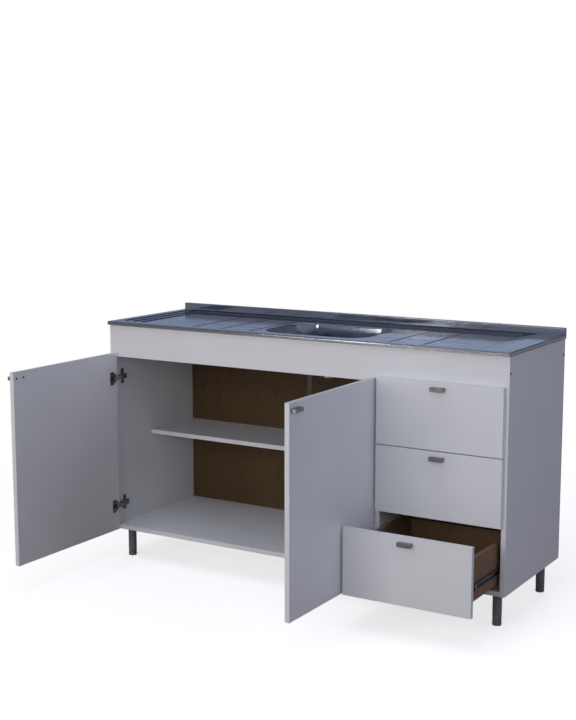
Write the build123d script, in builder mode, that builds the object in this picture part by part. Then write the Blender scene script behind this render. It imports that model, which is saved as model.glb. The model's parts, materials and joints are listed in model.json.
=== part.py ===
"""Kitchen sink unit on legs: a pressed steel sink top over a board cabinet with two doors and three drawers.

Millimetres. X runs along the front to the right, Y towards the wall, Z up. The origin is on the floor, in the
middle between the front and rear legs. The doors stand open at a right angle and the bottom drawer is pulled.
"""
import os
from math import hypot, sqrt

from build123d import *

os.makedirs("parts", exist_ok=True)

# ---------------------------------------------------------------- carcass
cabinet_width = 1488.0
side_depth = 471.0
carcass_height = 732.5
leg_height = 107.5
board = 15.0
back_thickness = 3.0
drawer_bay_width = 407.0
apron_height = 111.0
rear_rail_height = 100.0
back_joint_x = -209.0
joint_strip_width = 18.0
joint_strip_wall = 1.0
joint_strip_web = 1.2
strip_end_gap = 1.0
shelf_top_height = 431.0
shelf_front_setback = 208.0
shelf_rear_gap = 2.0
shelf_side_gap = 1.0
shelf_pin_radius = 2.5
shelf_pin_depth = 8.0
shelf_pin_reach = 9.0
shelf_pin_inset = 40.0

# ---------------------------------------------------------------- fixings seen on the side panels
rail_screw_drop = 52.0
rail_screw_head_radius = 4.5
rail_screw_head_height = 1.0
rail_screw_radius = 2.5
rail_screw_length = 45.0
hole_clearance = 0.1

# ---------------------------------------------------------------- legs
leg_row_offset = 185.0
leg_side_inset = 42.0
leg_radius = 14.5
leg_flange_radius = 27.0
leg_flange_thickness = 3.0
leg_flange_blend = 4.0
foot_height = 24.7
foot_top_gap = 0.3
foot_top_radius = 13.8
foot_floor_radius = 14.5
foot_edge = 1.5
foot_stem_radius = 6.0
foot_stem_length = 40.0
stem_clearance = 0.08
stem_bore_spare = 4.0
leg_cap_radius = 7.0
leg_cap_height = 2.5
leg_cap_edge = 1.0

# ---------------------------------------------------------------- doors
door_overlay = 3.5
door_to_drawer_gap = 3.5
door_centre_gap = 3.0
door_closed_gap = 2.5
door_height = 634.0
door_open_edge_gap = 3.0
pilot_hole_radius = 1.5
pilot_hole_depth = 8.0

# ---------------------------------------------------------------- concealed hinges, in (u, w)
# u runs from the panel that carries the hinge into the opening, w from the carcass front towards the room.
hinge_end_distance = 88.0
door_open_face_u = 15.0
cup_radius = 17.5
cup_centre_from_edge = 21.5
cup_depth = 11.5
cup_floor = 1.0
cup_clearance = 0.05
cup_bottom_gap = 0.3
cup_pocket_length = 31.0
cup_pocket_half_width = 7.2
cup_flange_thickness = 1.0
cup_flange_half_height = 23.0
cup_flange_width = 20.0
cup_flange_offset = 7.5
link_length = 24.32
cup_pivot_from_edge = 10.0
cup_pivot_depth = 4.0
hinge_pin_radius = 1.5
hinge_pin_clearance = 0.08
cup_pin_half_length = 9.2
link_half_width = 6.6
link_thickness = 2.2
link_bow = 2.6
link_eye_radius = 2.8
arm_half_width = 8.2
arm_wall = 1.3
arm_eye_radius = 4.0
arm_length = 56.0
arm_base_height = 11.0
arm_crank_start = 20.0
plate_thickness = 2.0
plate_block_height = 5.0
plate_block_half_width = 6.5
plate_block_start = 18.0
wing_half_height = 27.5
wing_width = 15.0
wing_centre = 42.5
wing_end_radius = 6.5
wing_screw_offset = 20.0
wing_screw_head_radius = 3.4
wing_screw_head_height = 1.2
wing_screw_radius = 1.6
wing_screw_length = 11.0
arm_screw_places = (-28.0, -50.0)
arm_screw_head_radius = 3.0
arm_screw_head_height = 1.2
arm_screw_radius = 1.6
arm_screw_length = 7.0
cup_screw_spacing = 38.0
cup_screw_head_radius = 3.2
cup_screw_head_height = 1.0
cup_screw_radius = 1.6
cup_screw_length = 9.0

# ---------------------------------------------------------------- drawers
drawer_front_height = 211.3
drawer_front_gap = 3.0
drawer_side_reveal = 11.0
drawer_front_standoff = 1.0
drawer_board = 12.0
drawer_side_height = 130.0
drawer_side_lift = 33.5
drawer_side_length = 400.0
drawer_back_drop = 15.0
drawer_base_thickness = 3.0
drawer_base_lift = 10.0
drawer_groove_depth = 5.0
groove_clearance = 0.2
connector_hole_radius = 3.0
connector_hole_depth = 8.0
connector_hole_setback = 41.0
connector_hole_height = 95.0
bottom_drawer_pull = 209.0

# ---------------------------------------------------------------- ball-bearing drawer slides
slide_gap = 12.7
slide_length = 390.0
slide_setback = 5.0
slide_centre_height = 45.5
channel_height = 27.0
channel_depth = 10.5
slide_sheet = 1.2
channel_lip = 2.0
runner_height = 17.0
runner_depth = 9.7
runner_screw_spots = (60.5, 164.5, 330.0)
runner_screw_radius = 3.5
runner_screw_height = 1.5
runner_stop_start = 27.0
runner_stop_length = 11.0
runner_stop_half_height = 6.0
drawer_travel = 250.0
cage_length = 140.0
cage_sheet = 0.8
cage_web_gap = 0.5
cage_flange_reach = 6.4
ball_side_gap = 0.1
ball_distance_from_wall = 6.0
ball_spots = (15.0, 70.0, 125.0)
ball_hole_clearance = 0.1

# ---------------------------------------------------------------- handles
handle_length = 44.0
handle_height = 12.5
handle_reach = 17.0
handle_neck_height = 8.5
handle_lip = 2.5
handle_hollow = 1.0
handle_drop = 16.0
handle_end_margin = 8.0
handle_edge = 0.8
handle_screw_spacing = 32.0
handle_screw_radius = 2.0
handle_screw_bite = 8.0
handle_screw_head_radius = 4.0
handle_screw_head_height = 0.8

# ---------------------------------------------------------------- pressed steel sink top
sink_side_overhang = 6.0
sink_depth = 480.0
sink_front_overhang = 9.5
sink_sheet = 0.8
sink_lip = 12.5
sink_corner = 5.0
lip_edge = 4.5
left_rim = 34.0
right_rim = 76.0
front_rim = 20.0
rear_rim = 7.0
tray_corner_radius = 45.0
tray_corner_tightening = 0.5
tray_step_pitch = 23.0
tray_step_slope = 11.0
tray_step_drop = 2.8
tray_steps = 3
upstand_height = 22.5
upstand_thickness = 13.0
upstand_edge = 3.0
bowl_length = 386.0
bowl_width = 280.0
bowl_corner_radius = 70.0
bowl_centre = (10.0, -10.0)
bowl_depth = 120.0
bowl_taper = 6.0
bowl_floor_radius = 22.0
bowl_edge_radius = 5.0
edge_search_margin = 0.01
groove_width = 9.0
groove_depth = 2.0
groove_columns = (-440.0, -325.0, -210.0, 313.0, 430.0)
groove_row_spans = ((-565.0, -440.0), (-440.0, -325.0), (-325.0, -210.0), (198.0, 313.0), (313.0, 430.0), (430.0, 555.0))
groove_rows = (-75.0, 42.0)
groove_column_front = -168.0
groove_column_rear = 147.0
groove_row_gap = 16.0
batten_rim_gap = 4.2
batten_tray_gap = 2.5
batten_gap = 0.5
drain_hole_radius = 24.6
drain_neck_radius = 23.9
drain_outlet_radius = 20.0
drain_outlet_wall = 1.6
drain_outlet_length = 25.0
drain_flange_radius = 40.0
drain_flange_thickness = 1.5
drain_cup_radius = 21.9
drain_cup_depth = 14.0
drain_cup_floor = 1.5
drain_slot_radius = 1.9
drain_ring_radii = (8.0, 15.5)
drain_ring_holes = (6, 12)
drain_nut_radius = 34.0
drain_nut_height = 10.0
drain_nut_sides = 8

# ---------------------------------------------------------------- places that follow from the sizes
carcass_top = leg_height + carcass_height
half_width = cabinet_width / 2
front = -(side_depth + back_thickness) / 2
rear = front + side_depth
inner_left = -half_width + board
inner_right = half_width - board
bay_left = inner_right - drawer_bay_width
partition_left = bay_left - board
floor_top = leg_height + board
depth_middle = (front + rear) / 2


def save(piece, label):
    """Label a finished piece and write it out."""
    piece.label = label
    export_step(piece, f"parts/{label}.step")


def middle(low, high):
    return (low + high) / 2


def board_between(x_span, y_span, z_span):
    """A plain board that fills the space between two corners."""
    with BuildPart() as panel:
        with BuildSketch(Plane.XY.offset(z_span[0])):
            with Locations((middle(*x_span), middle(*y_span))):
                Rectangle(x_span[1] - x_span[0], y_span[1] - y_span[0])
        extrude(amount=z_span[1] - z_span[0])
    return panel.part


# ================================================================ side panels, partition, bottom and rails
door_bottom = leg_height
door_top = door_bottom + door_height
hinge_heights = (door_bottom + hinge_end_distance, door_top - hinge_end_distance)
wing_screw_places = tuple(
    (front + wing_centre, height + step)
    for height in hinge_heights
    for step in (-wing_screw_offset, wing_screw_offset)
)
wing_screw_bite = wing_screw_length - plate_thickness
rail_screw_height = carcass_top - rail_screw_drop
rail_screw_places = ((front + board / 2, rail_screw_height), (rear - board / 2, rail_screw_height))
shelf_bottom = shelf_top_height - board
shelf_front = front + shelf_front_setback
shelf_pin_places = tuple(
    (y, shelf_bottom - shelf_pin_radius)
    for y in (shelf_front + shelf_pin_inset, rear - shelf_rear_gap - shelf_pin_inset)
)


def inner_face_holes(face_x, inward):
    """Holes in a panel's inner face for the shelf pins and the hinge plate screws."""
    with BuildPart() as holes:
        for places, radius, depth in (
            (shelf_pin_places, shelf_pin_radius + hole_clearance, shelf_pin_depth),
            (wing_screw_places, wing_screw_radius + hole_clearance, wing_screw_bite),
        ):
            with Locations(*[Location((face_x - inward * depth / 2, y, z), (0, 90, 0)) for y, z in places]):
                Cylinder(radius, depth)
    return holes.part


def side_panel(outer_x, inward, carries_door):
    """A full-depth side with rail screw holes and, on the door side, shelf pin and hinge screw holes."""
    inner_x = outer_x + inward * board
    span = tuple(sorted((outer_x, inner_x)))
    with BuildPart() as side:
        add(board_between(span, (front, rear), (leg_height, carcass_top)))
        with Locations(*[Location((middle(*span), y, z), (0, 90, 0)) for y, z in rail_screw_places]):
            Cylinder(rail_screw_radius + hole_clearance, board, mode=Mode.SUBTRACT)
        if carries_door:
            add(inner_face_holes(inner_x, inward), mode=Mode.SUBTRACT)
    return side.part


save(side_panel(-half_width, 1, carries_door=True), "side_panel_left")
save(side_panel(half_width, -1, carries_door=False), "side_panel_right")

with BuildPart() as partition:
    add(board_between((partition_left, bay_left), (front, rear), (floor_top, carcass_top)))
    with Locations((middle(partition_left, bay_left), front + board / 2, carcass_top - apron_height / 2)):
        Box(board, board, apron_height, mode=Mode.SUBTRACT)
    with Locations((middle(partition_left, bay_left), rear - board / 2, carcass_top - rear_rail_height / 2)):
        Box(board, board, rear_rail_height, mode=Mode.SUBTRACT)
    add(inner_face_holes(partition_left, -1), mode=Mode.SUBTRACT)
save(partition.part, "partition")

save(board_between((inner_left, inner_right), (front, rear), (leg_height, floor_top)), "bottom_panel")


def cross_rail(y_span, height):
    """A rail across the top, drilled at each end for the screw through the side panel."""
    with BuildPart() as rail:
        add(board_between((inner_left, inner_right), y_span, (carcass_top - height, carcass_top)))
        bite = rail_screw_length - board
        with Locations(
            Location((inner_left + bite / 2, middle(*y_span), rail_screw_height), (0, 90, 0)),
            Location((inner_right - bite / 2, middle(*y_span), rail_screw_height), (0, 90, 0)),
        ):
            Cylinder(rail_screw_radius + hole_clearance, bite, mode=Mode.SUBTRACT)
    return rail.part


save(cross_rail((front, front + board), apron_height), "front_apron")
save(cross_rail((rear - board, rear), rear_rail_height), "rear_rail")

with BuildPart() as shelf:
    add(
        board_between(
            (inner_left + shelf_side_gap, partition_left - shelf_side_gap),
            (shelf_front, rear - shelf_rear_gap),
            (shelf_bottom, shelf_top_height),
        )
    )
save(shelf.part, "shelf")

with BuildPart() as shelf_pins:
    for inner_x, inward in ((inner_left, 1), (partition_left, -1)):
        pin_length = shelf_pin_depth + shelf_pin_reach
        pin_x = inner_x + inward * (pin_length / 2 - shelf_pin_depth)
        with Locations(*[Location((pin_x, y, z), (0, 90, 0)) for y, z in shelf_pin_places]):
            Cylinder(shelf_pin_radius, pin_length)

# ================================================================ back in two boards with a joint strip
web_left = back_joint_x - joint_strip_web / 2
web_right = back_joint_x + joint_strip_web / 2
back_span = (rear, rear + back_thickness)
strip_bottom = floor_top + strip_end_gap
strip_top = carcass_top - rear_rail_height - strip_end_gap

with BuildPart() as back_panels:
    add(board_between((-half_width, web_left), back_span, (leg_height, carcass_top)))
    add(board_between((web_right, half_width), back_span, (leg_height, carcass_top)))
save(back_panels.part, "back_panels")

with BuildPart() as back_joint_strip:
    with BuildSketch(Plane.XY.offset(strip_bottom)):
        with Locations((back_joint_x, rear + back_thickness / 2)):
            Rectangle(joint_strip_web, back_thickness)
        with Locations(
            (back_joint_x, rear - joint_strip_wall / 2),
            (back_joint_x, rear + back_thickness + joint_strip_wall / 2),
        ):
            Rectangle(joint_strip_width, joint_strip_wall)
    extrude(amount=strip_top - strip_bottom)
save(back_joint_strip.part, "back_joint_strip")

# ================================================================ legs with screw-adjusted feet
leg_end_x = half_width - leg_side_inset
leg_columns = (("left", -leg_end_x), ("centre", 0.0), ("right", leg_end_x))
leg_rows = (("front", -leg_row_offset), ("rear", leg_row_offset))
leg_places = [(x, y) for _, x in leg_columns for _, y in leg_rows]
leg_bottom = foot_height + foot_top_gap
stem_bore_depth = foot_stem_length + stem_bore_spare

with BuildPart() as leg:
    with BuildSketch(Plane.XZ):
        with BuildLine():
            Polyline(
                (0, leg_bottom),
                (leg_radius, leg_bottom),
                (leg_radius, leg_height - leg_flange_thickness - leg_flange_blend),
            )
            RadiusArc(
                (leg_radius, leg_height - leg_flange_thickness - leg_flange_blend),
                (leg_radius + leg_flange_blend, leg_height - leg_flange_thickness),
                leg_flange_blend,
            )
            Polyline(
                (leg_radius + leg_flange_blend, leg_height - leg_flange_thickness),
                (leg_flange_radius, leg_height - leg_flange_thickness),
                (leg_flange_radius, leg_height),
                (0, leg_height),
                (0, leg_bottom),
            )
        make_face()
    revolve(axis=Axis.Z)
    with Locations((0, 0, leg_bottom + stem_bore_depth / 2)):
        Cylinder(foot_stem_radius + stem_clearance, stem_bore_depth, mode=Mode.SUBTRACT)

with BuildPart() as legs:
    with Locations(*leg_places):
        add(leg.part)
save(legs.part, "legs")

for column, x in leg_columns:
    for row, y in leg_rows:
        with BuildPart() as foot:
            with BuildSketch(Plane.XZ):
                with BuildLine():
                    Polyline(
                        (0, 0),
                        (foot_floor_radius - foot_edge, 0),
                        (foot_floor_radius, foot_edge),
                        (foot_top_radius, foot_height),
                        (foot_stem_radius, foot_height),
                        (foot_stem_radius, foot_height + foot_stem_length),
                        (0, foot_height + foot_stem_length),
                        (0, 0),
                    )
                make_face()
            revolve(axis=Axis.Z)
        save(foot.part.moved(Location((x, y, 0))), f"foot_{row}_{column}")

with BuildPart() as leg_caps:
    with BuildSketch(Plane.XY.offset(floor_top)):
        with Locations(*leg_places):
            Circle(leg_cap_radius)
    extrude(amount=leg_cap_height)
    chamfer(leg_caps.edges().group_by(Axis.Z)[-1], leg_cap_edge)
save(leg_caps.part, "leg_caps")

# ================================================================ doors and concealed hinges
# Each hinge is drawn in (u, w) on a plane level with its centre and is the same above and below it.
doors_clear_width = partition_left - inner_left
door_width = (doors_clear_width + 2 * door_overlay - door_centre_gap) / 2
cup_w = door_open_edge_gap + cup_centre_from_edge
cup_pivot = (door_open_face_u - cup_pivot_depth, door_open_edge_gap + cup_pivot_from_edge)
door_sides = {"left": (inner_left, 1), "right": (partition_left, -1)}

# The arm pivot is as far from the cup pivot of the open door as from that of the closed door.
closed_cup_pivot = (cup_pivot_from_edge - door_overlay, door_closed_gap + cup_pivot_depth)
chord = (cup_pivot[0] - closed_cup_pivot[0], cup_pivot[1] - closed_cup_pivot[1])
chord_length = hypot(*chord)
pivot_offset = sqrt(link_length**2 - (chord_length / 2) ** 2) / chord_length
arm_pivot = (
    middle(cup_pivot[0], closed_cup_pivot[0]) + chord[1] * pivot_offset,
    middle(cup_pivot[1], closed_cup_pivot[1]) - chord[0] * pivot_offset,
)


def hinge_plane(side, height):
    """Sketch plane whose x is u and whose y is w, level with a hinge."""
    panel_x, into = door_sides[side]
    return Plane(origin=(panel_x, front, height), x_dir=(into, 0, 0), z_dir=(0, 0, -into))


def facing_plane(side, height, u):
    """Sketch plane across u, seen from the opening: x is w and y is up or down."""
    panel_x, into = door_sides[side]
    return Plane(origin=(panel_x + into * u, front, height), x_dir=(0, -1, 0), z_dir=(into, 0, 0))


def door_handle_w():
    return door_open_edge_gap + door_width - handle_end_margin - handle_length / 2


def cup_screw_spots(radius):
    """Circles where the two screws pass through a cup's flange."""
    with Locations((cup_w + cup_flange_offset, 0)):
        with GridLocations(0, cup_screw_spacing, 1, 2):
            Circle(radius)


def door(side):
    """A door at its open stop, bored for two hinge cups, with screw and pilot holes at the free corners."""
    with BuildPart() as leaf:
        with BuildSketch(hinge_plane(side, door_bottom)):
            with Locations((door_open_face_u - board / 2, door_open_edge_gap + door_width / 2)):
                Rectangle(board, door_width)
        extrude(amount=door_height, dir=(0, 0, 1))
        for height in hinge_heights:
            with BuildSketch(facing_plane(side, height, door_open_face_u)):
                with Locations((cup_w, 0)):
                    Circle(cup_radius + cup_clearance)
            extrude(amount=-(cup_depth + cup_bottom_gap), mode=Mode.SUBTRACT)
            with BuildSketch(facing_plane(side, height, door_open_face_u)):
                cup_screw_spots(cup_screw_radius + hole_clearance)
            extrude(amount=-(cup_screw_length - cup_flange_thickness), mode=Mode.SUBTRACT)
        handle_screw_drop = handle_drop + handle_neck_height / 2
        with BuildSketch(facing_plane(side, door_top - handle_screw_drop, door_open_face_u)):
            with Locations((door_handle_w(), 0)):
                with GridLocations(handle_screw_spacing, 0, 2, 1):
                    Circle(handle_screw_radius + hole_clearance)
        extrude(amount=-board, mode=Mode.SUBTRACT)
        with BuildSketch(facing_plane(side, door_bottom + handle_screw_drop, door_open_face_u)):
            with Locations((door_handle_w(), 0)):
                with GridLocations(handle_screw_spacing, 0, 2, 1):
                    Circle(pilot_hole_radius)
        extrude(amount=-pilot_hole_depth, mode=Mode.SUBTRACT)
    return leaf.part


def hinge_cup(side, height):
    """The pressed cup in the door, with its screw flange, the pocket the link folds into and its pin holes."""
    with BuildPart() as cup:
        with BuildSketch(facing_plane(side, height, door_open_face_u)):
            with Locations((cup_w, 0)):
                Circle(cup_radius)
        extrude(amount=-cup_depth)
        with BuildSketch(facing_plane(side, height, door_open_face_u)):
            with Locations((cup_w, 0)):
                Circle(cup_radius + cup_flange_thickness)
            with Locations((cup_w + cup_flange_offset, 0)):
                RectangleRounded(cup_flange_width, 2 * cup_flange_half_height, cup_flange_thickness * 2)
        extrude(amount=cup_flange_thickness)
        with BuildSketch(facing_plane(side, height, door_open_face_u + cup_flange_thickness)):
            with Locations((cup_w, 0)):
                Rectangle(cup_pocket_length, 2 * cup_pocket_half_width)
        extrude(amount=-(cup_flange_thickness + cup_depth - cup_floor), mode=Mode.SUBTRACT)
        with BuildSketch(hinge_plane(side, height)):
            with Locations(cup_pivot):
                Circle(hinge_pin_radius + hinge_pin_clearance)
        extrude(amount=cup_pin_half_length + cup_clearance, both=True, mode=Mode.SUBTRACT)
        with BuildSketch(facing_plane(side, height, door_open_face_u + cup_flange_thickness)):
            cup_screw_spots(cup_screw_radius + hole_clearance)
        extrude(amount=-cup_flange_thickness, mode=Mode.SUBTRACT)
    return cup.part


def hinge_link(side, height):
    """The bowed link between arm and cup, with its two pins."""
    direction = Vector(cup_pivot[0] - arm_pivot[0], cup_pivot[1] - arm_pivot[1])
    across = Vector(direction.Y, -direction.X).normalized()
    halfway = Vector(middle(arm_pivot[0], cup_pivot[0]), middle(arm_pivot[1], cup_pivot[1]))
    bow_point = halfway + across * link_bow
    with BuildPart() as link:
        with BuildSketch(hinge_plane(side, height)):
            with BuildLine():
                ThreePointArc(arm_pivot, (bow_point.X, bow_point.Y), cup_pivot)
            trace(line_width=link_thickness)
            with Locations(arm_pivot, cup_pivot):
                Circle(link_eye_radius)
        extrude(amount=link_half_width, both=True)
        with BuildSketch(hinge_plane(side, height)):
            with Locations(arm_pivot):
                Circle(hinge_pin_radius)
        extrude(amount=arm_half_width, both=True)
        with BuildSketch(hinge_plane(side, height)):
            with Locations(cup_pivot):
                Circle(hinge_pin_radius)
        extrude(amount=cup_pin_half_length, both=True)
    return link.part


def arm_screw_spots(radius):
    """Circles where the adjusting screws pass through the arm."""
    with Locations(*[(w, 0) for w in arm_screw_places]):
        Circle(radius)


def hinge_arm(side, height):
    """The folded arm: two cheeks and a top, cranked out to the pivot ears."""
    pivot_u, pivot_w = arm_pivot
    with BuildPart() as arm:
        with BuildSketch(hinge_plane(side, height)) as profile:
            with BuildLine():
                Polyline(
                    (plate_block_height, -arm_length),
                    (arm_base_height, -arm_length),
                    (arm_base_height, -arm_crank_start - arm_eye_radius),
                    (pivot_u + arm_eye_radius * 0.6, pivot_w - arm_eye_radius * 1.8),
                    (pivot_u + arm_eye_radius, pivot_w),
                    (pivot_u - arm_eye_radius, pivot_w),
                    (plate_block_height, -arm_crank_start + arm_eye_radius),
                    (plate_block_height, -arm_length),
                )
            make_face()
            with Locations(arm_pivot):
                Circle(arm_eye_radius)
        extrude(amount=arm_half_width, both=True)
        with BuildSketch(hinge_plane(side, height)):
            with BuildLine():
                Polyline(
                    (plate_block_height, -arm_length),
                    (arm_base_height - arm_wall, -arm_length),
                    (arm_base_height - arm_wall, -arm_crank_start - arm_eye_radius),
                    (pivot_u - arm_wall, pivot_w - arm_eye_radius * 1.8),
                    (pivot_u + 2 * arm_eye_radius, pivot_w - arm_eye_radius),
                    (pivot_u + 2 * arm_eye_radius, pivot_w + 2 * arm_eye_radius),
                    (pivot_u - 2 * arm_eye_radius, pivot_w + 2 * arm_eye_radius),
                    (plate_block_height, -arm_crank_start + arm_eye_radius),
                    (plate_block_height, -arm_length),
                )
            make_face()
        extrude(amount=arm_half_width - arm_wall, both=True, mode=Mode.SUBTRACT)
        with BuildSketch(hinge_plane(side, height)):
            with Locations(arm_pivot):
                Circle(hinge_pin_radius + hinge_pin_clearance)
        extrude(amount=arm_half_width, both=True, mode=Mode.SUBTRACT)
        with BuildSketch(facing_plane(side, height, arm_base_height)):
            arm_screw_spots(arm_screw_radius + hole_clearance)
        extrude(amount=-arm_wall, mode=Mode.SUBTRACT)
    return arm.part


def hinge_plate(side, height):
    """The winged plate screwed to the panel, with the block that the arm clips over."""
    with BuildPart() as plate:
        with BuildSketch(facing_plane(side, height, 0)):
            with Locations((-wing_centre, 0)):
                RectangleRounded(wing_width, 2 * wing_half_height, wing_end_radius)
            with Locations((-(plate_block_start + arm_length) / 2, 0)):
                Rectangle(arm_length - plate_block_start, 2 * plate_block_half_width)
        extrude(amount=plate_thickness)
        with BuildSketch(facing_plane(side, height, plate_thickness)):
            with Locations((-(plate_block_start + arm_length) / 2, 0)):
                Rectangle(arm_length - plate_block_start, 2 * plate_block_half_width)
        extrude(amount=arm_base_height - arm_wall - plate_thickness)
        with BuildSketch(facing_plane(side, height, plate_thickness)):
            with Locations((-wing_centre, 0)):
                with GridLocations(0, 2 * wing_screw_offset, 1, 2):
                    Circle(wing_screw_radius + hole_clearance)
        extrude(amount=-plate_thickness, mode=Mode.SUBTRACT)
        with BuildSketch(facing_plane(side, height, arm_base_height)):
            arm_screw_spots(arm_screw_radius + hole_clearance)
        extrude(amount=-arm_screw_length, mode=Mode.SUBTRACT)
    return plate.part


def wing_screws(side, height):
    with BuildPart() as screws:
        with BuildSketch(facing_plane(side, height, plate_thickness)):
            with Locations((-wing_centre, 0)):
                with GridLocations(0, 2 * wing_screw_offset, 1, 2):
                    Circle(wing_screw_head_radius)
        extrude(amount=wing_screw_head_height)
        with BuildSketch(facing_plane(side, height, plate_thickness)):
            with Locations((-wing_centre, 0)):
                with GridLocations(0, 2 * wing_screw_offset, 1, 2):
                    Circle(wing_screw_radius)
        extrude(amount=-wing_screw_length)
    return screws.part


def arm_screws(side, height):
    """The two screws that set the arm on its plate."""
    with BuildPart() as screws:
        with BuildSketch(facing_plane(side, height, arm_base_height)):
            arm_screw_spots(arm_screw_head_radius)
        extrude(amount=arm_screw_head_height)
        with BuildSketch(facing_plane(side, height, arm_base_height)):
            arm_screw_spots(arm_screw_radius)
        extrude(amount=-arm_screw_length)
    return screws.part


def handle_screw_spots(radius):
    """Circles where the two screws of a handle pass, drawn on the handle's face plane."""
    with Locations((0, -handle_neck_height / 2)):
        with GridLocations(handle_screw_spacing, 0, 2, 1):
            Circle(radius)


def handle(face):
    """A small bar handle on a face plane: x along it, y up, z out. Its underside is hollowed for the fingers."""
    section = Plane(origin=face.origin, x_dir=face.z_dir, z_dir=-face.x_dir)
    lip_start = handle_reach - handle_lip
    with BuildPart() as grip:
        with BuildSketch(section):
            with BuildLine():
                Polyline(
                    (0, -handle_neck_height),
                    (0, 0),
                    (handle_reach, 0),
                    (handle_reach, -handle_height),
                    (lip_start, -handle_height),
                )
                ThreePointArc(
                    (lip_start, -handle_height),
                    (lip_start / 2, handle_hollow - middle(handle_height, handle_neck_height)),
                    (0, -handle_neck_height),
                )
            make_face()
        extrude(amount=handle_length / 2, both=True)
        outer_face = grip.faces().sort_by(Axis(face.origin, face.z_dir))[-1]
        fillet(outer_face.edges(), handle_edge)
        with BuildSketch(face):
            handle_screw_spots(handle_screw_radius + hole_clearance)
        extrude(amount=handle_screw_bite, mode=Mode.SUBTRACT)
    return grip.part


def handle_screws(face):
    """Two screws that pass through the board behind a handle, heads on the inner face."""
    back_face = face.offset(-board)
    with BuildPart() as screws:
        with BuildSketch(back_face):
            handle_screw_spots(handle_screw_radius)
        extrude(amount=board + handle_screw_bite)
        with BuildSketch(back_face):
            handle_screw_spots(handle_screw_head_radius)
        extrude(amount=-handle_screw_head_height)
    return screws.part


def cup_screws(side, height):
    flange_face = facing_plane(side, height, door_open_face_u + cup_flange_thickness)
    with BuildPart() as screws:
        with BuildSketch(flange_face):
            cup_screw_spots(cup_screw_head_radius)
        extrude(amount=cup_screw_head_height)
        with BuildSketch(flange_face):
            cup_screw_spots(cup_screw_radius)
        extrude(amount=-cup_screw_length)
    return screws.part


def door_handle_face(side):
    """Plane on a door's outer face at the middle of the handle's top edge."""
    panel_x, into = door_sides[side]
    outer_x = panel_x + into * (door_open_face_u - board)
    return Plane(
        origin=(outer_x, front - door_handle_w(), door_top - handle_drop),
        x_dir=(0, -into, 0),
        z_dir=(-into, 0, 0),
    )


def gathered(pieces):
    """Several separate solids kept as one part."""
    with BuildPart() as group:
        for piece in pieces:
            add(piece)
    return group.part


for side in door_sides:
    save(door(side), f"{side}_door")
    save(handle(door_handle_face(side)), f"{side}_door_handle")
    cup_screw_pairs = [cup_screws(side, height) for height in hinge_heights]
    save(gathered([handle_screws(door_handle_face(side)), *cup_screw_pairs]), f"{side}_door_screws")
    save(gathered([hinge_cup(side, height) for height in hinge_heights]), f"{side}_hinge_cups")
    save(gathered([hinge_link(side, height) for height in hinge_heights]), f"{side}_hinge_links")

all_hinges = [(side, height) for side in door_sides for height in hinge_heights]
save(gathered([hinge_plate(*place) for place in all_hinges]), "hinge_plates")
save(gathered([hinge_arm(*place) for place in all_hinges]), "hinge_arms")

with BuildPart() as cabinet_fixings:
    add(shelf_pins.part)
    for place in all_hinges:
        add(wing_screws(*place))
        add(arm_screws(*place))
    for outer_x, inward in ((-half_width, 1), (half_width, -1)):
        for middle_x, radius, length in (
            (outer_x - inward * rail_screw_head_height / 2, rail_screw_head_radius, rail_screw_head_height),
            (outer_x + inward * rail_screw_length / 2, rail_screw_radius, rail_screw_length),
        ):
            with Locations(*[Location((middle_x, y, z), (0, 90, 0)) for y, z in rail_screw_places]):
                Cylinder(radius, length)
save(cabinet_fixings.part, "cabinet_fixings")

# ================================================================ drawers
front_left = partition_left + door_overlay + door_to_drawer_gap
front_right = half_width - drawer_side_reveal
bay_middle = middle(bay_left, inner_right)
box_right = inner_right - slide_gap
box_inner_right = box_right - drawer_board
box_inner_left = 2 * bay_middle - box_inner_right
front_pitch = drawer_front_height + drawer_front_gap
bay_mirror = Plane.YZ.offset(bay_middle)
drawers = {
    "bottom": (door_bottom, bottom_drawer_pull),
    "middle": (door_bottom + front_pitch, 0.0),
    "top": (door_bottom + 2 * front_pitch, 0.0),
}


def drawer_front(low, back_y):
    with BuildPart() as panel:
        add(board_between((front_left, front_right), (back_y - board, back_y), (low, low + drawer_front_height)))
        with BuildSketch(drawer_handle_face(low, back_y)):
            handle_screw_spots(handle_screw_radius + hole_clearance)
        extrude(amount=-board, mode=Mode.SUBTRACT)
    return panel.part


def drawer_handle_face(low, back_y):
    """Plane on a drawer front's outer face at the middle of the handle's top edge."""
    top = low + drawer_front_height - handle_drop
    return Plane(origin=(middle(front_left, front_right), back_y - board, top), x_dir=(1, 0, 0), z_dir=(0, -1, 0))


def drawer_sides(side_bottom, back_y):
    """Both side boards, grooved for the base, with the hole of the connector that holds the front."""
    with BuildPart() as sides:
        add(
            board_between(
                (box_inner_right, box_right),
                (back_y, back_y + drawer_side_length),
                (side_bottom, side_bottom + drawer_side_height),
            )
        )
        groove_height = drawer_base_thickness + groove_clearance
        groove_place = (
            box_inner_right + drawer_groove_depth / 2,
            back_y + drawer_side_length / 2,
            side_bottom + drawer_base_lift + groove_height / 2,
        )
        with Locations(groove_place):
            Box(drawer_groove_depth, drawer_side_length, groove_height, mode=Mode.SUBTRACT)
        hole_place = (
            box_right - connector_hole_depth / 2,
            back_y + connector_hole_setback,
            side_bottom + connector_hole_height,
        )
        with Locations(Location(hole_place, (0, 90, 0))):
            Cylinder(connector_hole_radius, connector_hole_depth, mode=Mode.SUBTRACT)
        mirror(about=bay_mirror)
    return sides.part


def drawer_back(side_bottom, back_y):
    base_top = side_bottom + drawer_base_lift + drawer_base_thickness + groove_clearance
    box_end = back_y + drawer_side_length
    top = side_bottom + drawer_side_height - drawer_back_drop
    return board_between((box_inner_left, box_inner_right), (box_end - drawer_board, box_end), (base_top, top))


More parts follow.
